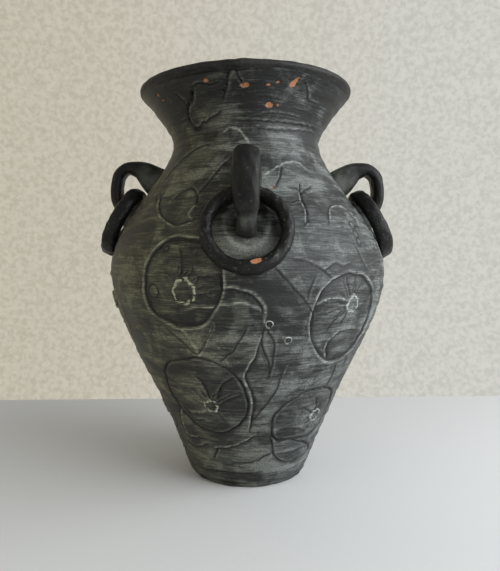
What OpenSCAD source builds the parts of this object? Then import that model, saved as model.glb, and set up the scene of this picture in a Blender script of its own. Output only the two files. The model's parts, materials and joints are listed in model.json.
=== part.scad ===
// Round-bellied clay pot on a flat foot, with a narrow neck, a flaring mouth and
// a rolled lip. Four strap loops stand on the shoulder, a quarter turn apart, and a
// clay ring hangs in each. Millimetres, +Z up, origin at the centre of the foot's
// underside; the front loop points along -Y.

/* [Body] */
// Radius of the foot where it stands on the table
foot_r = 52.5; // [44:0.5:55]
// Height of the foot band under the lower wall
foot_h = 15; // [12:0.5:18]
// Outer radius at the top of the foot band
foot_top_r = 59.5; // [56:0.5:68]
// Thickness of the floor inside the foot
floor_t = 10; // [8:0.5:11.5]
// Outer radius of the belly at its widest
belly_r = 125.5; // [116:0.5:151]
// Rise from the foot band to the widest line of the belly
lower_h = 173; // [140:1:208]
// Rise from the widest line of the belly to the neck
shoulder_h = 116; // [98:1:134]
// Outer radius at the narrowest line of the neck
neck_r = 67; // [56:0.5:76]
// Rise from the neck to the start of the lip
collar_h = 41.3; // [34:0.5:50]
// Outer radius where the collar meets the lip
mouth_r = 94.5; // [86:0.5:104]
// Thickness of the wall all the way up
wall_t = 8; // [6.5:0.25:9.75]
// Radius of the rolled coil that makes the lip
lip_r = 4.9; // [4.5:0.1:6]
// How far the coil's centre lies inside the collar's outer face
lip_inset = 3.4; // [2.8:0.1:4]

/* [Loops] */
// Height of the hinge line below the neck, before each loop's own drop
seat_below_neck = 45; // [42:0.5:50]
// Extra drop of the front loop
drop_front = 13.5; // [0:0.5:15]
// Extra drop of the right loop
drop_right = 3; // [0:0.5:10]
// Extra drop of the back loop
drop_back = 4; // [0:0.5:10]
// Extra drop of the left loop
drop_left = 0; // [0:0.5:10]
// Radius of the strap's bend, from the hinge line to the middle of the strap
strap_bend_r = 20.2; // [19.2:0.2:23]
// Extra height of the strap at its crest
strap_crest = 6.3; // [4:0.1:10]
// Extra height of the front strap at its crest
strap_crest_front = 8.3; // [4:0.1:10]
// Direction of the crest above the horizontal
crest_angle = 62; // [54:1:68]
// Thickness of the strap
strap_t = 11; // [9:0.1:13]
// Width of the strap
strap_w = 19; // [16:0.5:23]
// Thickness of the strap's upper root where it joins the shoulder
upper_root_t = 27; // [22:0.5:28]
// Width of the strap's upper root
upper_root_w = 24; // [20:0.5:28]
// Thickness of the strap's lower root
lower_root_t = 20; // [16:0.5:22]
// Width of the strap's lower root
lower_root_w = 15; // [12:0.5:20]
// Height of the upper root above the hinge line
upper_root_rise = 10.5; // [10:0.5:14]
// Depth of the lower root below the hinge line
lower_root_drop = 24; // [23:0.5:27]
// Depth to which both roots are worked into the wall
root_sink = 3.5; // [2:0.25:5]

/* [Rings] */
// Diameter of the ring measured to the middle of its section
ring_d = 58.6; // [48:0.2:71]
// Radius of the rounded edges of the ring's section
ring_edge_r = 4.9; // [4:0.1:5.8]
// Width of the flat between the rounded edges, along the ring's own axis
ring_flat = 3.6; // [0:0.2:5]
// Distance of the hinge line outward from the wall at its own height
hinge_out = 11.7; // [11:0.1:13]
// Gap left between a resting ring and the shoulder
ring_gap = 0.5; // [0.4:0.1:2]

/* [Ornament] */
// Radius of a flower's cracked centre button
button_r = 9.5; // [8:0.5:12]
// Height to which a button stands out of the wall
button_proud = 1.4; // [0.8:0.1:2.5]
// Radius of a seed pellet
pellet_r = 3.4; // [2.8:0.1:4.2]
// Height to which a pellet stands out of the wall
pellet_proud = 1.8; // [1:0.1:2.6]

/* [Hidden] */
$fn = 96;
// Straight steps along each curved section of wall
wall_steps = 14;
// Sides of a strap's section
strap_sides = 20;
// Steps between two stations of a strap
strap_steps = 4;
// Exponent of the strap's rounded-rectangle section
strap_square = 2.5;
// Depth to which buttons and pellets are worked into the wall
ornament_sink = 2.5;
// Width of the bevels of a button's rim
button_bevel = 1.2;
// Number of times the flower pattern repeats round the belly
flower_repeats = 3;

// Reach of each curve's handles, as a share of the curve's rise
foot_handle = 0.58;
belly_handle_below = 0.272;
belly_handle_above = 0.34;
neck_handle_below = 0.252;
neck_handle_above = 0.2;
mouth_handle = 0.368;
// Lean of the lower wall where it leaves the foot, from the vertical
foot_lean = 19.6;
// Lean of the collar at the lip, from the vertical
collar_lean = 44;
// Part of the foot's height at which its worn edge ends, and the edge's swell
foot_edge_share = 0.4;
foot_edge_swell = 3.2;
// Width of the round between the floor and the wall
floor_round = 4;

// Width of the crest, in degrees about the hinge line
crest_spread = 32;
// Directions of the strap stations, in degrees above the horizontal
strap_first = 108;
strap_turn = -20;
strap_last = -52;
// Directions between which the strap grows to its upper and lower root
upper_full = 140;
upper_none = 60;
lower_full = -52;
lower_none = -24;

belly_z = foot_h + lower_h;
neck_z = belly_z + shoulder_h;
seat_z = neck_z - seat_below_neck;

// Four control points of each curved section of the outer face: [radius, height]
lower_curve = [
    [foot_top_r, foot_h],
    [foot_top_r, foot_h] + foot_handle * lower_h * [sin(foot_lean), cos(foot_lean)],
    [belly_r, belly_z - belly_handle_below * lower_h],
    [belly_r, belly_z]
];
shoulder_curve = [
    [belly_r, belly_z],
    [belly_r, belly_z + belly_handle_above * shoulder_h],
    [neck_r, neck_z - neck_handle_below * shoulder_h],
    [neck_r, neck_z]
];
collar_curve = [
    [neck_r, neck_z],
    [neck_r, neck_z + neck_handle_above * collar_h],
    [mouth_r, neck_z + collar_h] - mouth_handle * collar_h * [sin(collar_lean), cos(collar_lean)],
    [mouth_r, neck_z + collar_h]
];
lip_centre = wall_point(collar_curve, 1, lip_inset);

// Point and direction on a curve of four control points
function bend(c, t) = c[0] * pow(1 - t, 3) + 3 * c[1] * t * pow(1 - t, 2)
    + 3 * c[2] * t * t * (1 - t) + c[3] * pow(t, 3);
function bend_way(c, t) = (c[1] - c[0]) * pow(1 - t, 2)
    + 2 * (c[2] - c[1]) * t * (1 - t) + (c[3] - c[2]) * t * t;

// Outward normal of the wall, and the point a given depth inside its outer face
function wall_out(c, t) = let (w = bend_way(c, t)) [w[1], -w[0]] / norm(w);
function wall_point(c, t, depth) = bend(c, t) - depth * wall_out(c, t);

// Parameter of a curve at a given height, found by halving
function curve_at(c, z, low = 0, high = 1, n = 20) =
    let (mid = (low + high) / 2)
    n == 0 ? mid :
    bend(c, mid)[1] < z ? curve_at(c, z, mid, high, n - 1) : curve_at(c, z, low, mid, n - 1);
function curve_of(z) = z < belly_z ? lower_curve : shoulder_curve;
function on_wall(z, depth = 0) = let (c = curve_of(z)) wall_point(c, curve_at(c, z), depth);
function out_of_wall(z) = let (c = curve_of(z)) wall_out(c, curve_at(c, z));

// Hinge point of a ring whose loop is set a given drop below the seat height
function hinge(drop) = [on_wall(seat_z - drop)[0] + hinge_out, seat_z - drop];
function ring_foot(drop, lean) = hinge(drop) + ring_d * [sin(lean), -cos(lean)];
function wall_distance(p) = min([for (c = [lower_curve, shoulder_curve]) for (i = [0 : 60])
    norm(p - bend(c, i / 60))]);
ring_reach = ring_flat / 2 + ring_edge_r + ring_gap;
// Radius and height of a place on the ring's middle circle, a turn away from its foot
function ring_place(drop, lean, a) =
    let (h = hinge(drop), s = ring_d / 2 * (1 + cos(a)))
    [norm([h[0] + s * sin(lean), ring_d / 2 * sin(a)]), h[1] - s * cos(lean)];
function ring_clearance(drop, lean) =
    min([for (a = [0 : 15 : 120]) wall_distance(ring_place(drop, lean, a))]);
// Lean from the vertical at which a ring comes to rest against the wall
function ring_lean(drop, low = 5, high = 70, n = 16) =
    let (mid = (low + high) / 2, p = ring_foot(drop, mid))
    n == 0 ? mid :
    (p[0] < on_wall(p[1])[0] || ring_clearance(drop, mid) < ring_reach)
        ? ring_lean(drop, mid, high, n - 1) : ring_lean(drop, low, mid, n - 1);

// Strap stations: [radius, height, thickness, width], from the upper root to the lower
function crest_share(a) = exp(-pow((a - crest_angle) / crest_spread, 2));
function fade(a, full, none) = let (s = min(max((a - none) / (full - none), 0), 1))
    s * s * (3 - 2 * s);
function strap_station(drop, crest, a) =
    let (p = hinge(drop) + (strap_bend_r + crest * crest_share(a)) * [cos(a), sin(a)],
         up = fade(a, upper_full, upper_none), thin = fade(a, lower_full, lower_none))
    [p[0], p[1],
     strap_t + (upper_root_t - strap_t) * up,
     strap_w + (upper_root_w - strap_w) * up + (lower_root_w - strap_w) * thin];
function root_station(z, out, t, w) = let (p = on_wall(z, -out)) [p[0], p[1], t, w];
function strap_stations(drop, crest) = let (up = seat_z - drop + upper_root_rise,
                                     low = seat_z - drop - lower_root_drop) concat(
    [root_station(up, -root_sink, upper_root_t, upper_root_w),
     root_station(up, root_sink, upper_root_t, upper_root_w)],
    [for (a = [strap_first : strap_turn : strap_last]) strap_station(drop, crest, a)],
    [root_station(low, root_sink, lower_root_t, lower_root_w),
     root_station(low, -root_sink, lower_root_t, lower_root_w)]);

// Smooth run through all stations, and the run's direction at each step
function between(s, i, u) =
    let (n = len(s) - 1, a = s[max(i - 1, 0)], b = s[i], c = s[min(i + 1, n)], d = s[min(i + 2, n)])
    0.5 * (2 * b + (c - a) * u + (2 * a - 5 * b + 4 * c - d) * u * u
        + (3 * b - a - 3 * c + d) * u * u * u);
function strap_run(s) = concat(
    [for (i = [0 : len(s) - 2]) for (k = [0 : strap_steps - 1]) between(s, i, k / strap_steps)],
    [s[len(s) - 1]]);
function run_way(r, i) = let (a = r[max(i - 1, 0)], b = r[min(i + 1, len(r) - 1)],
                              w = [b[0] - a[0], b[1] - a[1]]) w / norm(w);
function rounded(a) = pow(abs(a), 2 / strap_square) * sign(a);
function strap_corner(s, way, a) = let (across = s[2] / 2 * rounded(cos(a)))
    [s[0] - across * way[1], s[3] / 2 * rounded(sin(a)), s[1] + across * way[0]];

// One curved section of the wall, turned about the pot's axis
module wall_section(curve) {
    rotate_extrude()
        wall_outline(curve);
}

// Half outline of one curved section of the wall
module wall_outline(curve) {
    polygon(concat(
        [for (i = [0 : wall_steps]) bend(curve, i / wall_steps)],
        [for (i = [wall_steps : -1 : 0]) wall_point(curve, i / wall_steps, wall_t)]));
}

// A strap loop built in place above the +X side
module strap_loop(drop, crest = strap_crest) {
    run = strap_run(strap_stations(drop, crest));
    rows = len(run);
    corners = [for (i = [0 : rows - 1]) for (k = [0 : strap_sides - 1])
        strap_corner(run[i], run_way(run, i), 360 * k / strap_sides)];
    sides = [for (i = [0 : rows - 2]) for (k = [0 : strap_sides - 1])
        let (a = i * strap_sides + k, b = i * strap_sides + (k + 1) % strap_sides)
        each [[a, b, b + strap_sides], [a, b + strap_sides, a + strap_sides]]];
    ends = [[for (k = [strap_sides - 1 : -1 : 0]) k],
        [for (k = [0 : strap_sides - 1]) (rows - 1) * strap_sides + k]];
    polyhedron(points = corners, faces = concat(sides, ends));
}

// A ring hanging at rest above the +X side
module hung_ring(drop) {
    lean = ring_lean(drop);
    p = (hinge(drop) + ring_foot(drop, lean)) / 2;
    translate([p[0], 0, p[1]])
        rotate([0, 90 - lean, 0])
            rotate_extrude()
                translate([ring_d / 2, 0])
                    ring_outline();
}

// Section of a ring: two rounded edges and the flat between them
module ring_outline() {
    for (s = [-1, 1])
        translate([0, s * ring_flat / 2])
            circle(r = ring_edge_r);
    square([2 * ring_edge_r, ring_flat], center = true);
}

// Stands its children on the wall at a given turn and height, facing outward
module on_face(turn, z) {
    p = on_wall(z);
    out = out_of_wall(z);
    rotate([0, 0, turn - 90])
        translate([p[0], 0, p[1]])
            rotate([0, atan2(out[0], out[1]), 0])
                children();
}

// Domed button with a shallow hollow in its face
module button() {
    rotate_extrude()
        polygon([
            [0, -ornament_sink], [button_r - button_bevel, -ornament_sink],
            [button_r, button_proud / 2], [button_r - button_bevel, button_proud],
            [button_r - 2 * button_bevel, button_proud], [0, button_proud / 2]
        ]);
}

// Seed pellet: a ball sunk part way into the wall
module pellet() {
    translate([0, 0, pellet_proud - pellet_r])
        sphere(r = pellet_r);
}

module base_dish() {
    color("#26282a")
        rotate_extrude()
            polygon([
                [0, 0], [foot_r, 0], [foot_r + foot_edge_swell, foot_h * foot_edge_share], bend(lower_curve, 0),
                wall_point(lower_curve, 0, wall_t),
                [foot_top_r - wall_t - floor_round, floor_t], [0, floor_t]
            ]);
}

module lower_wall() {
    color("#303331")
        wall_section(lower_curve);
}

module shoulder_wall() {
    color("#343836")
        wall_section(shoulder_curve);
}

module neck_collar() {
    color("#1c1d1e")
        rotate_extrude()
            difference() {
                wall_outline(collar_curve);
                translate(lip_centre)
                    circle(r = lip_r);
            }
}

module lip_coil() {
    color("#17181a")
        rotate_extrude()
            translate(lip_centre)
                circle(r = lip_r);
}

module loop_front() {
    color("#1b1c1e")
        rotate([0, 0, -90])
            strap_loop(drop_front, strap_crest_front);
}

module loop_right() {
    color("#1b1c1e")
        strap_loop(drop_right);
}

module loop_back() {
    color("#1b1c1e")
        rotate([0, 0, 90])
            strap_loop(drop_back);
}

module loop_left() {
    color("#1b1c1e")
        rotate([0, 0, 180])
            strap_loop(drop_left);
}

module ring_front() {
    color("#141516")
        rotate([0, 0, -90])
            hung_ring(drop_front);
}

module ring_right() {
    color("#141516")
        hung_ring(drop_right);
}

module ring_back() {
    color("#141516")
        rotate([0, 0, 90])
            hung_ring(drop_back);
}

module ring_left() {
    color("#141516")
        rotate([0, 0, 180])
            hung_ring(drop_left);
}

// Cracked centres of the flowers: an upper and a lower row, two flowers to a repeat
module flower_buttons() {
    color("#3c403d")
        for (k = [0 : flower_repeats - 1])
            for (f = [[-22, 174], [-20, 80], [42, 162], [46, 64]])
                on_face(f[0] + k * 360 / flower_repeats, f[1])
                    button();
}

// Seed pellets beside the stems, a pair to each repeat of the flowers
module seed_pellets() {
    color("#3a3d3b")
        for (k = [0 : flower_repeats - 1])
            for (f = [[8, 150], [15, 137]])
                on_face(f[0] + k * 360 / flower_repeats, f[1])
                    pellet();
}

base_dish();
lower_wall();
shoulder_wall();
neck_collar();
lip_coil();
loop_front();
loop_right();
loop_back();
loop_left();
ring_front();
ring_right();
ring_back();
ring_left();
flower_buttons();
seed_pellets();
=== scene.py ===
"""Looks of the black clay pot: cut and washed walls, neck, rolled lip, strap loops and hanging rings."""

from __future__ import annotations

import json
import logging
import math
from dataclasses import dataclass, field
from enum import Enum

import bpy
import numpy as np
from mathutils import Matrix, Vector


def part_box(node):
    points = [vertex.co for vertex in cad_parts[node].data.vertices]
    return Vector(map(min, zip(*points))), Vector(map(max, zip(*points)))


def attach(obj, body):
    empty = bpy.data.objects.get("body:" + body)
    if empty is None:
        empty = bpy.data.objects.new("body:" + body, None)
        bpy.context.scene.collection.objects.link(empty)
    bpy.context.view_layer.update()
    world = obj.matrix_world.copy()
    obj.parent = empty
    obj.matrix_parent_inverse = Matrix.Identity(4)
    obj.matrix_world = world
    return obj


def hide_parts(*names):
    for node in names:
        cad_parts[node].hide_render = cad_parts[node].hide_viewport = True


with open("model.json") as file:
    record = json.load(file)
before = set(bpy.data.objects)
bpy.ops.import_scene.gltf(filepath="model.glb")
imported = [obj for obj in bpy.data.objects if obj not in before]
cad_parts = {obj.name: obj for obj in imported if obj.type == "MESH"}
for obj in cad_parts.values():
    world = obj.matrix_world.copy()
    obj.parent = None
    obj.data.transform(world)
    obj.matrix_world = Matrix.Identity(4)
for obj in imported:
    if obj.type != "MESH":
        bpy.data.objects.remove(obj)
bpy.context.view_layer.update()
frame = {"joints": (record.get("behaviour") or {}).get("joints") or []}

LOG = logging.getLogger("clay_pot")
MM = 0.001
TURN = 2 * math.pi
Triple = tuple[float, float, float]


# ---------------------------------------------------------------- shader maths


class Value:
    """A node socket that takes part in Python arithmetic."""

    def __init__(self, desk: "Desk", socket: bpy.types.NodeSocket) -> None:
        """Keeps the socket and the desk that makes nodes.

        Args:
            desk: the node maker of the material.
            socket: an output socket holding a number.
        """
        self.desk, self.socket = desk, socket

    def _with(self, op: str, *others: "Value | float") -> "Value":
        """This value and others through one Math node."""
        return self.desk.maths(op, self, *others)

    def __add__(self, other: "Value | float") -> "Value":
        """Sum."""
        return self._with("ADD", other)

    __radd__ = __add__

    def __sub__(self, other: "Value | float") -> "Value":
        """Difference."""
        return self._with("SUBTRACT", other)

    def __rsub__(self, other: float) -> "Value":
        """Difference from a number."""
        return self.desk.maths("SUBTRACT", other, self)

    def __mul__(self, other: "Value | float") -> "Value":
        """Product."""
        return self._with("MULTIPLY", other)

    __rmul__ = __mul__

    def clamped(self) -> "Value":
        """This value kept between 0 and 1."""
        return self.step(0.0, 1.0, "LINEAR")

    def step(self, start: float, end: float, way: str = "SMOOTHSTEP") -> "Value":
        """Rises from 0 at start to 1 at end; start may be the larger.

        Args:
            start: the value that gives 0.
            end: the value that gives 1.
            way: the Map Range node's interpolation.

        Returns:
            The eased value.
        """
        node = self.desk.node("ShaderNodeMapRange", {"interpolation_type": way, "clamp": True},
                              {"Value": self, "From Min": start, "From Max": end})
        return Value(self.desk, node.outputs["Result"])


class Desk:
    """Makes the nodes of one material or of the room's light."""

    def __init__(self, owner: bpy.types.Material | bpy.types.World) -> None:
        """Clears the owner's nodes.

        Args:
            owner: the material or world that the nodes belong to.
        """
        self.owner = owner
        owner.use_nodes = True
        self.tree = owner.node_tree
        self.tree.nodes.clear()

    def node(self, kind: str, settings: dict | None = None, sockets: dict | None = None) -> bpy.types.Node:
        """One node.

        Args:
            kind: the node's type.
            settings: its own settings, set before its sockets.
            sockets: values or links by socket name or number.

        Returns:
            The node.
        """
        made = self.tree.nodes.new(kind)
        for key, value in (settings or {}).items():
            setattr(made, key, value)
        for key, value in (sockets or {}).items():
            self.feed(made.inputs[key], value)
        return made

    def feed(self, socket: bpy.types.NodeSocket, value: object) -> None:
        """Links a value or socket into a socket, or sets its number.

        Args:
            socket: the input socket.
            value: a value or output socket to link, or a plain number, vector or colour.
        """
        if isinstance(value, Value):
            value = value.socket
        if isinstance(value, bpy.types.NodeSocket):
            self.tree.links.new(value, socket)
        else:
            socket.default_value = value

    def maths(self, op: str, *terms: Value | float) -> Value:
        """One Math node over the terms."""
        made = self.node("ShaderNodeMath", {"operation": op}, dict(enumerate(terms)))
        return Value(self, made.outputs[0])

    def where(self) -> bpy.types.NodeSocket:
        """The object's own coordinates, or the direction looked in for the room."""
        kind = "Generated" if isinstance(self.owner, bpy.types.World) else "Object"
        return self.node("ShaderNodeTexCoord").outputs[kind]

    def noise(self, scale: Triple, detail: float = 3.0, rough: float = 0.55, shift: Triple = (0, 0, 0),
              bend: float = 0.0) -> Value:
        """Noise over the object, stretched by a different scale along each axis.

        Args:
            scale: waves to the metre along X, Y and Z.
            detail: octaves.
            rough: share that each octave keeps.
            shift: offset of the pattern.
            bend: how far the pattern bends itself.

        Returns:
            A value around 0.5.
        """
        at = self.node("ShaderNodeMapping", {}, {"Vector": self.where(), "Scale": scale, "Location": shift})
        made = self.node("ShaderNodeTexNoise", {}, {"Vector": at.outputs[0], "Scale": 1.0, "Detail": detail,
                                                    "Roughness": rough, "Distortion": bend})
        return Value(self, made.outputs["Fac"])

    def worn(self, name: str) -> Value:
        """A number stored on the mesh."""
        return Value(self, self.node("ShaderNodeAttribute", {"attribute_name": name}).outputs["Fac"])

    def axis(self, letter: str) -> Value:
        """One coordinate: in metres for a material, a share of the direction for the room."""
        return Value(self, self.node("ShaderNodeSeparateXYZ", {}, {0: self.where()}).outputs[letter])

    def blend(self, share: Value | float, low: object, high: object) -> bpy.types.NodeSocket:
        """A colour between two colours.

        Args:
            share: 0 gives low and 1 gives high.
            low: a colour or colour socket.
            high: a colour or colour socket.

        Returns:
            The colour socket.
        """
        return self.node("ShaderNodeMix", {"data_type": "RGBA"}, {0: share, 6: low, 7: high}).outputs[2]

    def finish(self, colour: object, rough: object, height: Value, depth: float,
               sheen: float) -> bpy.types.Material:
        """Puts the shader together.

        Args:
            colour: base colour.
            rough: roughness.
            height: height of the fine relief, 0 to 1.
            depth: the relief's full height in metres.
            sheen: specular level, the same all over.

        Returns:
            The material.
        """
        shader = self.node("ShaderNodeBsdfPrincipled", {}, {"Base Color": colour, "Roughness": rough,
                                                            "Specular IOR Level": sheen})
        bump = self.node("ShaderNodeBump", {}, {"Height": height, "Distance": depth, "Strength": 1.0})
        self.feed(shader.inputs["Normal"], bump.outputs[0])
        self.node("ShaderNodeOutputMaterial", {}, {"Surface": shader.outputs[0]})
        return self.owner


def shade(level: float, red: float = 1.0, blue: float = 1.0) -> tuple[float, float, float, float]:
    """A near-grey colour of a given lightness, tinted through its red and blue shares."""
    return (level * red, level, level * blue, 1.0)


# The bare clay under the slip, in the shade of a flake and at its rubbed middle
TERRACOTTA = (0.36, 0.135, 0.055, 1.0)
TERRACOTTA_PALE = (0.48, 0.24, 0.12, 1.0)


@dataclass(frozen=True)
class WashedSlip:
    """Black slip rubbed over with a pale grey-green wash that holds to the high places.

    The lightness of the slip, the wash and the rubbed burrs comes first, then how much wash there is and
    how much painted shade takes it away: in the sunk hollows, on the neck below the lip between its two
    heights in metres, and at the foot by the floor. The colours are painted lighter and bluer on the right,
    as if lit, and darker and warmer on the left, as if in shade. The cut lines and cracks carry painted
    shade darker than the black slip.
    """

    name: str = "washed_slip"
    black: float = 0.010
    grey: float = 0.105
    pale: float = 0.34
    # painted shade inside the cut lines and cracks, darker than the black slip
    groove: float = 0.005
    wash: float = 0.5
    # painted shade in the sunk hollows: how much wash it takes away
    hollow_dark: float = 0.34
    # painted shade on the neck below the lip and at the foot by the floor, each with the heights in metres
    # over which it comes in
    neck_shade_strength: float = 0.54
    neck_heights: tuple[float, float] = (0.284, 0.326)
    foot_shade_strength: float = 0.06
    foot_heights: tuple[float, float] = (0.015, 0.007)
    gloss: float = 0.40
    relief: float = 0.0013
    sheen: float = 0.38

    def make(self) -> bpy.types.Material:
        """The material, which reads the cut, burr, wiped, hollow and chip fields of the mesh.

        Returns:
            The material.
        """
        d = Desk(bpy.data.materials.new(self.name))
        streak = d.noise((22, 22, 330), 5, 0.68, bend=0.5)
        hair = d.noise((90, 90, 1300), 4, 0.66, (4, 8, 3), 0.3)
        band = d.noise((7, 7, 52), 3, 0.58, (3, 1, 2), 0.4)
        cloud = d.noise((38, 38, 46), 5, 0.66, (7, 2, 5), 0.6)
        grain = d.noise((900, 900, 900), 2, 0.6)
        cut, burr, wiped = d.worn("cut"), d.worn("burr"), d.worn("wiped")
        hollow, chip = d.worn("hollow"), d.worn("chip")
        mixed = (streak.step(0.38, 0.64) * 0.34 + hair.step(0.38, 0.62) * 0.42 + band.step(0.40, 0.62) * 0.34
                 + cloud.step(0.40, 0.62) * 0.58 + (grain - 0.5) * 0.50)
        height = d.axis("Z")
        # painted shade: darker from the neck up to the lip, and towards the floor at the foot
        neck, foot = height.step(*self.neck_heights), height.step(*self.foot_heights)
        # painted shade: the sunk hollows, the neck and the foot lose wash and so come out darker
        painted_shade = hollow * self.hollow_dark + (neck * self.neck_shade_strength + foot * self.foot_shade_strength)
        wash = (mixed * 1.15 - 0.97 + self.wash + wiped * 0.6 - painted_shade).clamped()
        # painted light: the right side is painted lighter and bluer, as if lit from the right, and the left
        # darker and warmer, as if in shade
        left_shade = d.axis("X").step(0.04, -0.07)
        low = d.blend(left_shade, shade(self.black, 0.95, 0.98), shade(self.black, 1.05, 0.66))
        high = d.blend(left_shade, shade(self.grey * 1.22, 0.92, 0.96), shade(self.grey * 0.95, 1.02, 0.60))
        top = d.blend(left_shade, shade(self.pale, 0.94, 0.95), shade(self.pale * 0.85, 1.0, 0.66))
        base = d.blend(wash, low, high)
        crusted = (wash - 0.62).step(0.0, 0.38) * grain.step(0.40, 0.60) * 0.40
        worn = burr * hair.step(0.30, 0.60) * 1.2 + crusted
        base = d.blend(worn.clamped(), base, top)
        shadow = cut.step(4.4, 0.9) * (1 - burr) * 0.55
        base = d.blend(shadow, base, shade(self.black, 1.02, 0.94))
        # painted shade in the cut lines and cracks
        base = d.blend(cut.step(1.15, 0.35) * 0.92, base, shade(self.groove, 1.02, 0.98))
        ragged = chip + (d.noise((420, 420, 420), 3, 0.6) - 0.5) * 2.6
        bare = ragged.step(0.4, -0.4)
        clay = d.blend(grain.step(0.3, 0.7), TERRACOTTA, TERRACOTTA_PALE)
        base = d.blend(bare * (0.55 + 0.6 * cloud), base, clay)
        rough = self.gloss + wash * 0.22 + grain * 0.08 + bare * 0.2
        relief = streak * 0.5 + grain * 0.22 + cloud * 0.4 + hair * 0.25 - bare * 0.5
        return d.finish(base, rough, relief, self.relief, self.sheen)


@dataclass(frozen=True)
class SmokedClay:
    """Near-black smoked clay, rubbed a little paler by handling and washed over at the roots."""

    name: str = "smoked_clay"
    black: float = 0.0035
    grey: float = 0.010
    pale: float = 0.15
    gloss: float = 0.38
    wash: float = 0.085
    specks: float = 0.0
    relief: float = 0.0009
    sheen: float = 0.24

    def make(self) -> bpy.types.Material:
        """The material, which reads the rub, root and chip fields of the mesh.

        Returns:
            The material.
        """
        d = Desk(bpy.data.materials.new(self.name))
        cloud = d.noise((60, 60, 60), 4, 0.6)
        drag = d.noise((260, 260, 60), 3, 0.6, (2, 5, 1))
        grain = d.noise((1300, 1300, 1300), 2, 0.6)
        rub, chip = d.worn("rub"), d.worn("chip")
        wear = cloud.step(0.42, 0.7) * 0.45 + drag.step(0.45, 0.7) * 0.35 + rub * 0.5 + (grain - 0.5) * 0.5
        wear = wear.clamped()
        base = d.blend(wear, shade(self.black, 1.05, 0.98), shade(self.grey, 1.02, 0.88))
        washed = d.worn("root") * (0.25 + cloud.step(0.38, 0.62) * 0.75)
        base = d.blend(washed.clamped(), base, shade(self.wash, 0.96, 0.86))
        speck = d.noise((480, 480, 480), 2, 0.55, (9, 4, 6)).step(0.67 - self.specks * 0.08, 0.72)
        dusted = (speck * (0.2 + 0.7 * cloud) * (0.4 + rub)).clamped()
        base = d.blend(dusted, base, shade(self.pale, 1.0, 0.88))
        ragged = chip + (d.noise((420, 420, 420), 3, 0.6) - 0.5) * 2.2
        bare = ragged.step(0.5, -0.3)
        base = d.blend(bare, base, d.blend(grain.step(0.3, 0.7), TERRACOTTA, TERRACOTTA_PALE))
        rough = self.gloss + wear * 0.25 + bare * 0.3
        height = cloud * 0.4 + drag * 0.3 + grain * 0.25 - bare * 0.4
        return d.finish(base, rough, height, self.relief, self.sheen)


@dataclass(frozen=True)
class PaleCloth:
    """The plain pale surface that the pot stands on."""

    name: str = "pale_cloth"
    level: float = 0.72
    rough: float = 0.85
    relief: float = 0.0001
    sheen: float = 0.2

    def make(self) -> bpy.types.Material:
        """The material.

        Returns:
            The material.
        """
        d = Desk(bpy.data.materials.new(self.name))
        weave = d.noise((900, 900, 900), 2, 0.5)
        base = d.blend(weave, shade(self.level * 0.98, 0.99, 1.01), shade(self.level, 0.99, 1.01))
        return d.finish(base, self.rough, weave, self.relief, self.sheen)


# ---------------------------------------------------------------- shapes


def smooth_run(points: np.ndarray, steps: int, closed: bool = False) -> np.ndarray:
    """A smooth run through points, one cubic to each gap.

    The slope at a point is half the step from the point before it to the point after it.

    Args:
        points: the points, one to a row.
        steps: steps to each gap.
        closed: whether the run joins its own start.

    Returns:
        The run, one point to a row.
    """
    p = np.asarray(points, float)
    n = len(p)
    gaps = n if closed else n - 1
    i = np.repeat(np.arange(gaps), steps)
    u = np.tile(np.arange(steps) / steps, gaps)[:, None]
    near = i[:, None] + np.arange(-1, 3)
    a, b, c, d = p[near % n if closed else np.clip(near, 0, n - 1)].transpose(1, 0, 2)
    run = 0.5 * (2 * b + (c - a) * u + (2 * a - 5 * b + 4 * c - d) * u**2 + (3 * b - a - 3 * c + d) * u**3)
    return run if closed else np.vstack([run, p[-1:]])


@dataclass
class Wobble:
    """Sum of slow waves round and up the pot, for a hand-made unevenness."""

    seed: int
    around: tuple[int, int]
    rise: tuple[float, float]
    waves: int = 18

    def at(self, turn: np.ndarray, height: np.ndarray) -> np.ndarray:
        """Mean-free value of about unit size.

        It is the sum of cos(k turn + q height + phase) over seeded k, q and phase, divided by the root of
        half the number of waves.

        Args:
            turn: angle about the axis, in radians.
            height: height or length along the piece, in millimetres.

        Returns:
            The value at each place.
        """
        rng = np.random.default_rng(self.seed)
        total = np.zeros(np.broadcast(turn, height).shape)
        for _ in range(self.waves):
            k = rng.integers(self.around[0], self.around[1] + 1)
            q = rng.uniform(*self.rise) * rng.choice([-1, 1])
            total = total + np.cos(k * turn + q * height + rng.uniform(0, TURN))
        return total / math.sqrt(self.waves / 2)


def closed_faces(rows: int, cols: int, loops: bool) -> tuple[np.ndarray, np.ndarray]:
    """Faces over a grid of points that wraps along its columns.

    Quads join each point to the next in its row and column. Without loops, a fan closes each end about
    one more point, the first row's before the last row's.

    Args:
        rows: rows of points.
        cols: points to a row.
        loops: whether the rows wrap.

    Returns:
        The quads and the fans' triangles, as point numbers.
    """
    r = np.arange(rows if loops else rows - 1)[:, None]
    c = np.arange(cols)[None, :]
    low, high = r * cols, (r + 1) % rows * cols
    after = (c + 1) % cols
    quads = np.stack([low + c, low + after, high + after, high + c], -1).reshape(-1, 4)
    if loops:
        return quads, np.zeros((0, 3), int)
    here, after, base = c[0], after[0], (rows - 1) * cols
    first, last = np.full(cols, rows * cols), np.full(cols, rows * cols + 1)
    fans = [np.stack([first, after, here], 1), np.stack([last, base + here, base + after], 1)]
    return quads, np.vstack(fans)


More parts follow.
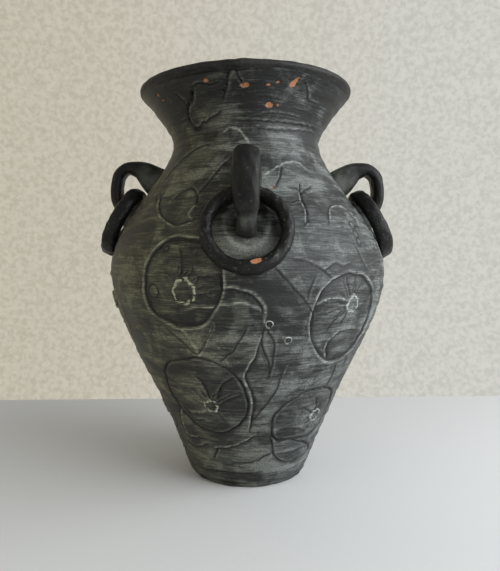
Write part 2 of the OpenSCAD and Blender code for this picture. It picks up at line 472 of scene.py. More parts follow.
def add_mesh(name: str, grid: np.ndarray, loops: bool, fields: dict[str, np.ndarray],
             body: str, replaces: tuple[str, ...], material: bpy.types.Material,
             creases: tuple[int, ...] = ()) -> bpy.types.Object:
    """One closed piece from a grid of points that wraps along its columns, its faces turned outward.

    With loops set the rows wrap too, as on a ring; otherwise the first and last rows are closed by one
    point at their middle. The faces are turned over if the volume they enclose comes out below zero.

    Args:
        name: the piece's name.
        grid: points in millimetres, rows by columns by three.
        loops: whether the rows wrap.
        fields: numbers to store on the mesh, rows by columns.
        body: the CAD body that it rides on.
        replaces: the CAD nodes that it stands for.
        material: its finish.
        creases: rows that are sharp edges.

    Returns:
        The new object.
    """
    rows, cols = grid.shape[:2]
    points = grid.reshape(-1, 3)
    values = {k: np.broadcast_to(v, (rows, cols)).reshape(-1) for k, v in fields.items()}
    if not loops:
        points = np.vstack([points, grid[[0, -1]].mean(1)])
        values = {k: np.append(v, [v[:cols].mean(), v[-cols:].mean()]) for k, v in values.items()}
    quads, fans = closed_faces(rows, cols, loops)
    corner = points[np.vstack([quads[:, [0, 1, 2]], quads[:, [0, 2, 3]], fans])].transpose(1, 0, 2)
    if (corner[0] * np.cross(corner[1], corner[2])).sum() < 0:
        quads, fans = quads[:, ::-1], fans[:, ::-1]
    mesh = bpy.data.meshes.new(name)
    corners = np.concatenate([quads.ravel(), fans.ravel()])
    starts = np.concatenate([np.arange(len(quads)) * 4, len(quads) * 4 + np.arange(len(fans)) * 3])
    mesh.vertices.add(len(points))
    mesh.vertices.foreach_set("co", (points * MM).astype(np.float32).ravel())
    mesh.loops.add(len(corners))
    mesh.loops.foreach_set("vertex_index", corners.astype(np.int32))
    mesh.polygons.add(len(starts))
    mesh.polygons.foreach_set("loop_start", starts.astype(np.int32))
    mesh.update(calc_edges=True)
    mesh.polygons.foreach_set("use_smooth", np.ones(len(starts), bool))
    if creases:
        ends = np.empty(len(mesh.edges) * 2, np.int32)
        mesh.edges.foreach_get("vertices", ends)
        row = ends.reshape(-1, 2) // cols
        sharp = (row[:, 0] == row[:, 1]) & np.isin(row[:, 0], creases)
        mesh.attributes.new("sharp_edge", "BOOLEAN", "EDGE").data.foreach_set("value", sharp)
    for key, value in values.items():
        mesh.attributes.new(key, "FLOAT", "POINT").data.foreach_set("value", value.astype(np.float32))
    mesh.validate()
    mesh.materials.append(material)
    made = bpy.data.objects.new(name, mesh)
    bpy.context.scene.collection.objects.link(made)
    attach(made, body)
    if replaces:
        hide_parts(*replaces)
    LOG.info("%s: %d faces", name, len(mesh.polygons))
    return made


def merge_grids(parts: list[tuple[np.ndarray, dict[str, np.ndarray]]], name: str, body: str,
                replaces: tuple[str, ...], material: bpy.types.Material) -> bpy.types.Object:
    """Several small closed grids of one size as one piece.

    Args:
        parts: each grid with its fields; the first and last rows are closed by a point.
        name: the piece's name.
        body: the CAD body that it rides on.
        replaces: the CAD nodes that it stands for.
        material: its finish.

    Returns:
        The joined object.
    """
    made = [add_mesh(f"{name}_{i}", grid, False, fields, body, (), material)
            for i, (grid, fields) in enumerate(parts)]
    with bpy.context.temp_override(active_object=made[0], selected_editable_objects=made,
                                   selected_objects=made):
        bpy.ops.object.join()
    made[0].name = made[0].data.name = name
    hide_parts(*replaces)
    return made[0]


@dataclass
class Meridian:
    """The pot's outer half outline: three curves of four control points each, foot to lip.

    A handle is how far a curve's inner control point stands from its end, as a share of the curve's rise.
    Angles are in radians and lengths in millimetres.
    """

    foot_r: float = 52.5
    foot_top_r: float = 59.5
    neck_r: float = 67.0
    mouth_r: float = 94.5
    mouth_z: float = 345.3
    foot_lean: float = math.radians(19.6)
    collar_lean: float = math.radians(44)
    foot_handle: float = 0.58
    belly_handle_below: float = 0.272
    belly_handle_above: float = 0.34
    neck_handle_below: float = 0.252
    neck_handle_above: float = 0.2
    mouth_handle: float = 0.368
    wall: float = 8.0
    foot_h: float = field(init=False)
    belly_z: float = field(init=False)
    belly_r: float = field(init=False)
    neck_z: float = field(init=False)
    curves: dict[str, np.ndarray] = field(init=False)

    def __post_init__(self) -> None:
        """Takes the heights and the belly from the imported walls, then sets the control points."""
        low, high = (np.array(v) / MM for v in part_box("shoulder_wall"))
        self.foot_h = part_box("lower_wall")[0].z / MM
        self.belly_z, self.neck_z, self.belly_r = low[2], high[2], high[0]
        foot, belly = np.array((self.foot_top_r, self.foot_h)), np.array((self.belly_r, self.belly_z))
        neck, mouth = np.array((self.neck_r, self.neck_z)), np.array((self.mouth_r, self.mouth_z))
        rises = (belly - foot)[1], (neck - belly)[1], (mouth - neck)[1]
        up = np.array((0.0, 1.0))
        self.curves = {
            "lower": np.array([foot, foot + self.foot_handle * rises[0] * self.heading(self.foot_lean),
                               belly - self.belly_handle_below * rises[0] * up, belly]),
            "shoulder": np.array([belly, belly + self.belly_handle_above * rises[1] * up,
                                  neck - self.neck_handle_below * rises[1] * up, neck]),
            "collar": np.array([neck, neck + self.neck_handle_above * rises[2] * up,
                                mouth - self.mouth_handle * rises[2] * self.heading(self.collar_lean),
                                mouth])}
        t = np.linspace(0, 1, 200)
        runs = [self.bend(c, t)[0] for c in self.curves.values()]
        self._line = np.vstack([[(self.foot_r, 0.0)], *runs])
        self._arc = np.append(0, np.cumsum(np.hypot(*np.diff(self._line, axis=0).T)))

    @staticmethod
    def heading(lean: float) -> np.ndarray:
        """The direction that leans outward from the vertical by an angle."""
        return np.array((math.sin(lean), math.cos(lean)))

    def bend(self, c: np.ndarray, t: np.ndarray) -> tuple[np.ndarray, np.ndarray]:
        """Points and outward normals of a cubic of four control points.

        Args:
            c: the control points.
            t: places along the curve, 0 to 1.

        Returns:
            Points and unit normals, each as radius and height.
        """
        t = t[:, None]
        p = c[0] * (1 - t)**3 + 3 * c[1] * t * (1 - t)**2 + 3 * c[2] * t**2 * (1 - t) + c[3] * t**3
        w = (c[1] - c[0]) * (1 - t)**2 + 2 * (c[2] - c[1]) * t * (1 - t) + (c[3] - c[2]) * t**2
        w = w / np.linalg.norm(w, axis=1, keepdims=True)
        return p, np.stack([w[:, 1], -w[:, 0]], 1)

    def even(self, name: str, rows: int) -> tuple[np.ndarray, np.ndarray]:
        """A curve at evenly spaced places along its length.

        Args:
            name: the curve's name.
            rows: how many places.

        Returns:
            Points and unit normals, each as radius and height.
        """
        t = np.linspace(0, 1, 400)
        p, _ = self.bend(self.curves[name], t)
        arc = np.append(0, np.cumsum(np.hypot(*np.diff(p, axis=0).T)))
        return self.bend(self.curves[name], np.interp(np.linspace(0, arc[-1], rows), arc, t))

    def arc_at(self, z: np.ndarray) -> np.ndarray:
        """Length along the outline at a height."""
        return np.interp(z, self._line[:, 1], self._arc)

    def on_wall(self, z: float, out: float = 0.0) -> np.ndarray:
        """A point at a height, a given way out of the wall.

        Args:
            z: the height.
            out: how far out along the wall's normal.

        Returns:
            The point's radius and height.
        """
        name = "lower" if z < self.belly_z else "shoulder" if z < self.neck_z else "collar"
        p, n = self.even(name, 600)
        i = int(np.argmin(np.abs(p[:, 1] - z)))
        return p[i] + out * n[i]

    def normal_at(self, z: float) -> np.ndarray:
        """The outward normal at a height."""
        step = self.on_wall(z, 1.0) - self.on_wall(z)
        return step / np.linalg.norm(step)


def around(columns: int) -> np.ndarray:
    """Angles round the axis from the back, closer together at the front, where the ornament is richest.

    The angles are spaced by the inverse of a density of 1 + 1.1 exp(-(angle/1.25) to the fourth).

    Args:
        columns: how many.

    Returns:
        The angles in radians, from -pi up.
    """
    even = np.linspace(-math.pi, math.pi, 2000)
    share = np.cumsum(1 + 1.1 * np.exp(-(even / 1.25)**4))
    share = (share - share[0]) / (share[-1] - share[0])
    return np.interp(np.arange(columns) / columns, share, even)


def turned(radius: np.ndarray, height: np.ndarray, turn: np.ndarray) -> np.ndarray:
    """Points about the axis; turn 0 faces -Y and grows towards +X."""
    return np.stack(np.broadcast_arrays(radius * np.sin(turn), -radius * np.cos(turn), height), -1)


# ---------------------------------------------------------------- ornament


class Mark(Enum):
    """The ways in which a line was worked into the clay."""

    CUT = "pressed with a tool, throwing up a burr"
    FINE = "scratched lightly"
    CRACK = "opened as the clay dried"
    RIDGE = "a thin worm of clay left standing"


# Radius of the wall at a middling flower, degrees to a radian as the lines' places were set out with it,
# how far a line works beyond its own ends, and next to nothing
FLOWER_R = 105.0
DEGREES = 57.3
REACH = 14.0
TINY = 1e-9
# Depth, width and burr of each kind of line in millimetres, and how pale its high edge is rubbed
DEPTH = {Mark.CUT: 1.15, Mark.FINE: 0.5, Mark.CRACK: 0.9, Mark.RIDGE: -0.65}
WIDTH = {Mark.CUT: 0.95, Mark.FINE: 0.66, Mark.CRACK: 0.58, Mark.RIDGE: 0.85}
BURR = {Mark.CUT: 0.9, Mark.FINE: 0.2, Mark.CRACK: 0.12, Mark.RIDGE: 0.0}
RUBBED = {Mark.CUT: 1.0, Mark.FINE: 0.45, Mark.CRACK: 0.35, Mark.RIDGE: 1.0}


@dataclass
class Fields:
    """What the ornament does at each place of a wall, in millimetres and shares."""

    lift: np.ndarray
    cut: np.ndarray
    burr: np.ndarray
    # share of painted shade in sunk hollows, dishes, inside the pot and over the foot
    hollow: np.ndarray
    chip: np.ndarray
    wiped: np.ndarray


@dataclass(frozen=True)
class Line:
    """One worked line, through a few places given as turn in degrees and height in millimetres."""

    mark: Mark
    places: tuple[tuple[float, float], ...]
    closed: bool = False
    burr_side: int = 1
    sink: float = 0.0
    weight: float = 1.0

    def apply(self, shift: float, f: Fields, turn: np.ndarray, arc: np.ndarray, radius: np.ndarray,
              line: Meridian) -> None:
        """Adds the line to the fields.

        The depth falls off as exp(-(distance/width) squared), the burr stands beside it on one side, and
        inside a closed line the clay is sunk, rising again away from the edge, with painted shade that is
        darkest near the edge.

        Args:
            shift: turn added to every place, in degrees.
            f: the fields.
            turn: angle at each place of the wall.
            arc: length up the wall at each place.
            radius: radius at each place.
            line: the outline, for lengths along it.
        """
        p = np.array(self.places, float)
        p = np.stack([np.radians(p[:, 0] + shift), line.arc_at(p[:, 1])], 1)
        run = smooth_run(p, 6, self.closed)
        if self.closed:
            run = np.vstack([run, run[:1]])
        half = (run[:, 0].max() - run[:, 0].min()) / 2
        mid = (run[:, 0].max() + run[:, 0].min()) / 2
        off = (turn - mid + math.pi) % TURN - math.pi
        near = ((np.abs(off) * radius < half * radius + REACH)
                & (arc > run[:, 1].min() - REACH) & (arc < run[:, 1].max() + REACH))
        if near.any():
            run[:, 0] -= mid
            self.work(f, near, run, off[near], arc[near], radius[near], shift)

    def work(self, f: Fields, near: np.ndarray, run: np.ndarray, turn: np.ndarray, arc: np.ndarray,
             radius: np.ndarray, shift: float) -> None:
        """Works the line into the places near it.

        Args:
            f: the fields.
            near: which places of the wall are near.
            run: the line's own places, as turn from its middle and length up the wall.
            turn: turn of each near place from the line's middle.
            arc: length up the wall at each near place.
            radius: radius at each near place.
            shift: turn added to every place, in degrees, which varies the pressure.
        """
        ax, ay = run[:-1, 0][None] - turn[:, None], run[:-1, 1][None] - arc[:, None]
        bx, by = run[1:, 0][None] - turn[:, None], run[1:, 1][None] - arc[:, None]
        ax, bx = ax * radius[:, None], bx * radius[:, None]
        dx, dy = bx - ax, by - ay
        u = np.clip(-(ax * dx + ay * dy) / (dx**2 + dy**2 + TINY), 0, 1)
        gap = np.hypot(ax + u * dx, ay + u * dy)
        k = gap.argmin(1)
        pick = np.arange(len(k))
        d = gap[pick, k]
        side = np.sign(ax[pick, k] * dy[pick, k] - ay[pick, k] * dx[pick, k]) * self.burr_side
        along = (k + u[pick, k]) / (len(run) - 1)
        fade = np.ones_like(along) if self.closed else np.clip(np.minimum(along, 1 - along) * 7 + 0.35, 0, 1)
        press = 0.8 + 0.45 * np.sin(along * 19 + shift + len(self.places)) * np.sin(along * 47 + 1.3)
        width = WIDTH[self.mark] * self.weight * (0.75 + 0.25 * fade)
        groove = np.exp(-(d / width)**2)
        beside = np.exp(-((d * side - 1.9 * width) / (0.95 * width))**2)
        lift = (BURR[self.mark] * beside - DEPTH[self.mark] * groove) * self.weight * fade * press
        pale = RUBBED[self.mark] * fade * press * (groove if self.mark is Mark.RIDGE else beside)
        if self.closed and self.sink:
            crosses = (ay > 0) != (by > 0)
            at = ax - ay * dx / np.where(np.abs(dy) < TINY, TINY, dy)
            inside = (crosses & (at > 0)).sum(1) % 2 == 1
            pillow = np.exp(-d / 7.0)
            lift = lift - inside * self.sink * (0.25 + 0.75 * pillow)
            # painted shade inside the sunk petal, darkest near its edge
            f.hollow[near] = np.maximum(f.hollow[near], inside * (0.45 + 0.55 * pillow))
            pale = pale * (1 - 0.6 * inside)
        f.lift[near] += lift
        f.burr[near] = np.maximum(f.burr[near], pale)
        if self.mark is not Mark.RIDGE:
            f.cut[near] = np.minimum(f.cut[near], d / width + (1 - fade) * 0.8 + 0.15 * (1.15 - press))


def rays(turn: float, z: float, inner: float, outer: float, count: int, seed: int,
         spread: tuple[float, float] = (0, 360)) -> list[Line]:
    """Cracks that run out from a flower's centre, each a little crooked.

    Args:
        turn: the centre's turn in degrees.
        z: its height.
        inner: where the cracks start, in millimetres from the centre.
        outer: about where they end.
        count: how many.
        seed: seed of their crookedness.
        spread: directions that they fill, in degrees from +turn towards +z.

    Returns:
        The cracks.
    """
    rng = np.random.default_rng(seed)
    per = DEGREES / FLOWER_R
    made = []
    for i in range(count):
        a = math.radians(spread[0] + (spread[1] - spread[0]) * (i + rng.uniform(0.2, 0.8)) / count)
        reach = outer * rng.uniform(0.55, 1.1)
        steps = np.linspace(inner, reach, 5)
        bent = a + np.append(0, np.cumsum(rng.normal(0, 0.06, 4)))
        made.append(Line(Mark.CRACK, tuple((turn + s * math.cos(b) * per, z + s * math.sin(b))
                                           for s, b in zip(steps, bent)), weight=rng.uniform(0.8, 1.25)))
    return made


@dataclass
class Ornament:
    """Every line cut into the walls, in groups that repeat round the pot, and the wall's own unevenness.

    A dish is the pressed dip round a loop's lower root, with painted shade in it. Lengths are in
    millimetres and the shift in degrees.
    """

    line: Meridian
    loops: list["Perch"]
    shift: float = -0.5
    crook: float = 0.24
    slow_swell: float = 0.45
    turning_swell: float = 0.14
    dish_below_hinge: float = 21.0
    dish_wide: float = 15.0
    dish_tall: float = 20.0
    dish_deep: float = 2.6
    dish_rim: float = 0.5
    flake_deep: float = 0.5

    def belly(self) -> list[Line]:
        """The four flowers of one repeat with their stems, leaves and cracks.

        Returns:
            The lines, from the repeat that faces forward.
        """
        cut, fine, ridge = Mark.CUT, Mark.FINE, Mark.RIDGE
        made = [
            Line(cut, ((-25.4, 213), (-30.6, 209), (-34, 201), (-36.4, 192), (-37.4, 181), (-37.7, 169),
                 (-35.6, 158), (-30.2, 152), (-24.8, 148), (-16, 150), (-11.5, 160), (-8.6, 170),
                 (-7.6, 184), (-9, 199), (-14.5, 209), (-20.5, 212.5)), closed=True, burr_side=-1,
                 sink=1.0),
            Line(ridge, ((-25.5, 149), (-22.7, 142), (-19.9, 131), (-19, 125), (-14.9, 137), (-11.4, 151))),
            Line(ridge, ((-21.4, 161), (-16.2, 163), (-12, 163), (-6.9, 165), (-1.8, 166), (2.3, 164),
                 (5.4, 160), (6.5, 154), (6.6, 149))),
            Line(cut, ((-8.5, 175), (-3.4, 175), (0.7, 172), (3.6, 168), (5.3, 162), (6.0, 155)),
                 weight=1.15),
            Line(cut, ((-8.2, 187), (-8.0, 176)), weight=0.8),
            Line(fine, ((6.6, 148), (5.6, 138), (7.1, 127), (9.3, 118), (9.8, 106)), weight=1.3),
            Line(fine, ((6.6, 148), (9.8, 139), (10.9, 131), (10.8, 119), (9.9, 106)), weight=1.3),
            Line(cut, ((5.8, 140), (3.9, 125), (1.1, 115), (-0.2, 106), (2.0, 95), (3.5, 84), (2.7, 70),
                 (1.0, 57)), burr_side=-1, weight=0.9),
            Line(fine, ((17.1, 118), (15.3, 105), (13.7, 94), (9.4, 81), (4.4, 70))),
            Line(fine, ((0.3, 148), (-2.1, 138), (-6.3, 127), (-10.8, 121))),
            Line(fine, ((-11.4, 151), (-13.5, 142), (-19.7, 126), (-25.9, 136), (-31.3, 146))),
            Line(fine, ((9.0, 192), (13.8, 181), (18.6, 170), (23.0, 160), (25, 152)), weight=1.5),
            Line(cut, ((-41.5, 109), (-37, 116), (-28, 120), (-19.6, 122.5), (-13.5, 119.5), (-7.5, 113),
                 (-3.3, 104), (-0.3, 93), (0.8, 81), (-1.2, 69), (-7, 60), (-15.6, 54), (-25.8, 55),
                 (-34.3, 61), (-39, 69), (-43, 78), (-44.8, 88), (-44.2, 99)), closed=True, burr_side=-1,
                 sink=1.2),
            Line(cut, ((-41.5, 74), (-45.8, 64), (-48, 49), (-41.1, 45), (-33.4, 48)), weight=0.8),
            Line(fine, ((-51.2, 39), (-40.1, 36), (-27.9, 42)), weight=1.4),
            Line(cut, ((-24.7, 38), (-12.6, 40), (-1.7, 46), (4.9, 53)), weight=0.9),
            Line(fine, ((-21.6, 39), (-26.9, 27)), weight=1.4),
            Line(ridge, ((-35.6, 73), (-27.9, 73), (-23.5, 75))),
            Line(fine, ((-35.8, 72), (-33.5, 64), (-25.7, 66)), weight=1.3),
            Line(cut, ((24.6, 160), (24.4, 146), (26.8, 134), (31.5, 124), (37.9, 116.5), (46, 116),
                 (54, 124), (58, 138), (58, 152), (56, 166), (51, 178), (45, 184), (37, 185), (31, 180),
                 (26.8, 172)), closed=True, burr_side=-1, sink=1.1),
            Line(cut, ((37.4, 118), (34.8, 127), (36.2, 136), (41.3, 140.5), (50.6, 140)), weight=0.9),
            Line(ridge, ((24.9, 163), (30, 167), (35.7, 167), (41, 164))),
            Line(fine, ((15.5, 196), (20.7, 195), (24.8, 191), (28.1, 186), (31.3, 182)), weight=1.5),
            Line(fine, ((27, 187), (32.0, 193), (36.1, 191), (40, 194)), weight=1.5),
            Line(fine, ((23.6, 183), (22.0, 175), (21.6, 166)), weight=1.2),
            Line(fine, ((45.8, 111), (47.3, 102), (46.6, 92)), weight=1.4),
            Line(cut, ((16.8, 50), (14.6, 63), (15.9, 73), (21.3, 82), (29, 88.5), (39, 91), (52, 87),
                 (61, 76), (64, 62), (60, 50), (48, 44), (33, 46), (22, 47)), closed=True, burr_side=-1,
                 sink=1.1),
            Line(cut, ((15.1, 52), (20.7, 46), (30.8, 45), (45.5, 38), (58, 29), (51, 23.5), (41.1, 22),
                 (28.3, 24), (19.9, 31), (17.3, 41)), closed=True, burr_side=-1, sink=0.7, weight=0.85),
            Line(fine, ((19.4, 57), (30.8, 56), (41.5, 50)), weight=1.4),
            Line(fine, ((18.3, 35), (3.4, 26), (-12.1, 24)), weight=1.2),
            Line(Mark.CRACK, ((-21.7, 184), (-21.5, 193), (-22.8, 205)), weight=1.5),
            Line(Mark.CRACK, ((-19.7, 84), (-20, 94), (-21.3, 101), (-24, 106)), weight=1.6),
            Line(Mark.CRACK, ((-15.4, 86), (-12.5, 97), (-9.1, 103), (-5.8, 106)), weight=1.6),
            Line(Mark.CRACK, ((-15.1, 80), (-9.7, 86), (-2.8, 91)), weight=1.6),
        ]
        made += rays(-21.5, 174, 10, 23, 9, 4, (-30, 130)) + rays(-19.6, 80, 8, 24, 7, 11, (-60, 200))
        made += rays(42, 162, 6, 27, 12, 7, (60, 250)) + rays(46, 64, 7, 20, 9, 9)
        made += [self.circlet(-33.7, 174, 5.0), self.circlet(-28.5, 205.5, 1.8)]
        return made

    def circlet(self, turn: float, z: float, size: float) -> Line:
        """A small pressed circle.

        Args:
            turn: its middle's turn in degrees.
            z: its middle's height.
            size: its radius.

        Returns:
            The line.
        """
        per = DEGREES / float(self.line.on_wall(z)[0])
        round_it = np.linspace(0, TURN, 8, endpoint=False)
        places = tuple((turn + size * math.cos(a) * per, z + size * math.sin(a)) for a in round_it)
        return Line(Mark.FINE, places, closed=True, weight=1.2)

    def shoulder(self) -> list[Line]:
        """Leaves and twigs between the loops.

        Returns:
            The lines, from the repeat that faces forward.
        """
        cut, fine = Mark.CUT, Mark.FINE
        return [
            Line(cut, ((-44.5, 252), (-43, 243), (-39, 235), (-33.8, 228.5), (-27.9, 224), (-22.9, 224),
                 (-18.5, 227)), burr_side=-1, weight=0.85),
            Line(fine, ((-34.5, 243), (-30.9, 250), (-26.6, 253), (-22.7, 248), (-21.3, 239)), weight=1.3),
            Line(Mark.CRACK, ((-21, 239), (-21.1, 249), (-18, 259), (-14.3, 269), (-9, 278)), weight=1.5),
            Line(Mark.RIDGE, ((-21.3, 239), (-22.8, 231), (-20.5, 226)), weight=0.8),
            Line(fine, ((-52, 262), (-50.5, 272), (-44, 283), (-33, 290), (-24, 292)), weight=1.2),
            Line(cut, ((23.9, 224), (25.3, 233), (25.2, 241), (25.9, 248)), weight=0.85),
            Line(fine, ((25.9, 248), (24.5, 252), (21, 252.5)), weight=1.2),
            Line(fine, ((25.9, 248), (30.5, 252), (33.9, 254.5)), weight=1.2),
            Line(fine, ((25.3, 239), (23.5, 242), (19.5, 240)), weight=1.2),
            Line(fine, ((25.8, 246), (26.2, 251), (27.5, 256)), weight=1.2),
            Line(fine, ((23.9, 225), (21.7, 221)), weight=1.2),
            Line(cut, ((34.6, 224), (36, 232), (38.3, 237), (44, 241), (51, 240), (56, 233), (58, 222)),
                 burr_side=-1, weight=0.8),
            self.circlet(48.8, 224, 3.2), self.circlet(48.6, 217, 3.0), self.circlet(48, 211, 2.8),
            self.circlet(-46.5, 248, 2.6),
            Line(fine, ((45.1, 206), (46.9, 196), (50.6, 186)), weight=1.3),
            Line(Mark.RIDGE, ((9.2, 262), (14.5, 267), (23.5, 274), (33, 276), (38.5, 270)), weight=0.9),
            Line(fine, ((14, 252), (18, 262), (20, 270)), weight=1.0),
        ]

    def neck(self) -> list[Line]:
        """Turning lines and cracks of the neck.

        Returns:
            The lines.
        """
        fine, crack = Mark.FINE, Mark.CRACK
        return [
            Line(crack, ((-28.7, 336), (-33.5, 327), (-39.1, 322), (-42, 314), (-39, 307), (-33, 307)),
                 weight=2.1),
            Line(crack, ((-42, 333), (-40.5, 328), (-39.1, 323)), weight=1.8),
            Line(crack, ((-28.7, 335), (-24.6, 336.5), (-20.1, 335), (-13.1, 335.5)), weight=1.7),
            Line(fine, ((-36, 307), (-30.9, 309), (-22, 313), (-15, 316)), weight=1.4),
            Line(crack, ((-6.5, 347), (-8.5, 339), (-10.9, 331), (-13.3, 324)), weight=2.0),
            Line(crack, ((-3.5, 347), (-3.5, 340), (-1.1, 333)), weight=1.6),
            Line(fine, ((-8, 309), (7.8, 308.5), (24.9, 308.5), (39.5, 309), (62, 311)), weight=1.5),
            Line(fine, ((6, 303.5), (20, 302.5), (34, 304), (62, 307)), weight=1.4),
            Line(fine, ((10, 314), (24, 315), (40, 314)), weight=1.1),
            Line(Mark.RIDGE, ((-15.7, 301), (-10.9, 304), (-5, 302), (-0.3, 296), (2.4, 290)), weight=1.0),
            Line(fine, ((32.3, 338), (37, 333), (41.8, 327), (50, 327)), weight=1.4),
            Line(fine, ((100, 306), (140, 308), (185, 307), (230, 309), (262, 306)), weight=1.4),
            Line(crack, ((150, 345), (147, 335), (153, 326), (149, 315)), weight=1.8),
        ]

    def read(self, turn: np.ndarray, radius: np.ndarray, height: np.ndarray) -> Fields:
        """Works every line over one wall.

        Args:
            turn: angle at each place.
            radius: radius at each place.
            height: height at each place.

        Returns:
            The fields.
        """
        arc = self.line.arc_at(height)
        crooked = turn + self.crook * Wobble(61, (14, 70), (0.05, 0.42), 36).at(turn, height) / radius
        uneven = arc + self.crook * Wobble(62, (14, 70), (0.05, 0.42), 36).at(turn, height)
        f = Fields(np.zeros(turn.shape), np.full(turn.shape, 6.0), np.zeros(turn.shape), np.zeros(turn.shape),
                   np.full(turn.shape, 6.0), np.zeros(turn.shape))
        for lines, repeats in ((self.belly(), 3), (self.shoulder(), 2), (self.neck(), 1)):
            for mark in lines:
                for k in range(repeats):
                    mark.apply(k * 360 / repeats + self.shift, f, crooked, uneven, radius, self.line)
        self.dishes(f, turn, arc, radius)
        self.chips(f, crooked, uneven, radius)
        self.smears(f, crooked, uneven, radius)
        slow = Wobble(3, (1, 6), (0.01, 0.06)).at(turn, height)
        bands = Wobble(5, (0, 3), (0.25, 0.9), 24).at(turn, height)
        f.lift += self.slow_swell * slow + self.turning_swell * bands
        return f

    def dishes(self, f: Fields, turn: np.ndarray, arc: np.ndarray, radius: np.ndarray) -> None:
        """Oval hollows pressed where each loop's lower root was luted on, each with a low rim and painted
        shade inside.

        Args:
            f: the fields.
            turn: angle at each place.
            arc: length up the wall at each place.
            radius: radius at each place.
        """
        for perch in self.loops:
            off = (turn - perch.turn + math.pi) % TURN - math.pi
            up = arc - self.line.arc_at(np.array(perch.hinge[1] - self.dish_below_hinge))
            reach = np.hypot(off * radius / self.dish_wide, up / self.dish_tall)
            f.lift -= self.dish_deep * np.exp(-(reach / 0.8)**4)
            f.lift += self.dish_rim * np.exp(-((reach - 1.12) / 0.14)**2)
            f.burr[...] = np.maximum(f.burr, 0.35 * np.exp(-((reach - 1.12) / 0.12)**2) * (up < 6))
            # painted shade inside the dish
            f.hollow[...] = np.maximum(f.hollow, 0.6 * np.exp(-(reach / 0.85)**6))

    def smears(self, f: Fields, turn: np.ndarray, arc: np.ndarray, radius: np.ndarray) -> None:
        """Places where the wash was wiped on pale or, below zero, left dark.

        Each is given by its turn, height, reach across, reach up and strength, and falls off as
        exp(-(distance/reach) cubed).

        Args:
            f: the fields.
            turn: angle at each place.
            arc: length up the wall at each place.
            radius: radius at each place.
        """
        wiped = ((11, 258, 6, 13, 0.8), (0, 207, 16, 5, 0.35), (-10, 303, 17, 7, 0.3),
                 (22, 298, 24, 8, 0.6), (4, 172, 30, 17, -0.5), (-30, 285, 20, 12, -0.25),
                 (-21, 206, 26, 7, -0.25), (62, 130, 18, 40, 0.2), (-48, 125, 24, 14, -0.3),
                 (6, 118, 30, 9, -0.3), (-14, 62, 30, 6, -0.3), (16, 284, 30, 4, 0.4),
                 (40, 206, 24, 9, 0.55), (-16, 139, 58, 4, 0.5), (12, 71, 26, 2.5, 0.5),
                 (-4, 162, 80, 26, -0.16), (-20, 84, 26, 24, 0.16), (46, 64, 26, 22, 0.10),
                 (0, 26, 60, 12, 0.14), (30, 215, 18, 3, 0.5), (-40, 262, 24, 4, 0.35),
                 (2, 33, 40, 4, 0.35), (5, 18, 60, 3, 0.5), (28, 100, 30, 30, 0.12), (-24, 268, 14, 9, 0.4),
                 (120, 250, 40, 9, 0.45), (170, 300, 44, 7, 0.5), (215, 255, 30, 10, 0.4),
                 (95, 140, 60, 5, 0.45), (200, 120, 70, 5, 0.45), (255, 200, 50, 6, 0.4))
        for at, z, wide, tall, much in wiped:
            off = ((turn - math.radians(at) + math.pi) % TURN - math.pi) * radius
            up = arc - self.line.arc_at(np.array(z))
            f.wiped += much * np.exp(-np.hypot(off / wide, up / tall)**3)

    def chips(self, f: Fields, turn: np.ndarray, arc: np.ndarray, radius: np.ndarray) -> None:
        """Flakes lost from the neck: distance outside each flake's oval, and a shallow loss inside it.

        Each is given by its turn, height, reach across, reach up and sideways lean.

        Args:
            f: the fields.
            turn: angle at each place.
            arc: length up the wall at each place.
            radius: radius at each place.
        """
        flakes = ((-0.4, 333.5, 3.6, 2.3, 0), (12, 334, 1.6, 1.2, 0), (26, 337, 2.9, 5.0, 0.35),
                  (14.6, 320.5, 3.2, 2.6, 0), (20, 321, 0.9, 0.9, 0), (-20.5, 338, 1.7, 1.7, 0),
                  (-57.4, 338, 1.3, 1.5, 0), (-56, 333, 1.4, 0.8, 0), (17, 336, 1.2, 1.0, 0),
                  (12.2, 252, 1.5, 1.1, 0), (118, 336, 3.0, 2.2, 0), (205, 331, 2.4, 3.0, 0.4))
        for at, z, wide, tall, lean in flakes:
            off = ((turn - math.radians(at) + math.pi) % TURN - math.pi) * radius
            up = arc - self.line.arc_at(np.array(z))
            off = off - lean * up
            far = (np.hypot(off / wide, up / tall) - 1) * min(wide, tall)
            f.chip[...] = np.minimum(f.chip, far)
            f.lift -= self.flake_deep * np.clip(-far + 0.3, 0, 1)


# ---------------------------------------------------------------- sub-assemblies


@dataclass
class Perch:
    """Where one loop and its ring sit: the hinge line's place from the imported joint."""

    side: str
    turn: float = field(init=False)
    hinge: tuple[float, float] = field(init=False)
    lean: float = field(init=False)

    def __post_init__(self) -> None:
        """Reads the hinge from the joint and the ring's lean from its box at rest."""
        joint = next(j for j in frame["joints"] if j["name"] == f"ring_{self.side}_hinge")
        x, y, z = (v / MM for v in joint["pos_m"])
        self.turn = math.atan2(x, -y)
        self.hinge = (math.hypot(x, y), z)
        low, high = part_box(f"ring_{self.side}")
        mid = (low + high) / 2 / MM
        self.lean = math.atan2(math.hypot(mid.x, mid.y) - self.hinge[0], z - mid.z)

    def to_pot(self, radius: np.ndarray, across: np.ndarray, height: np.ndarray) -> np.ndarray:
        """Points given by radius, sideways place and height, turned to this loop's side."""
        s, c = math.sin(self.turn), math.cos(self.turn)
        return np.stack([radius * s + across * c, -radius * c + across * s, height], -1)


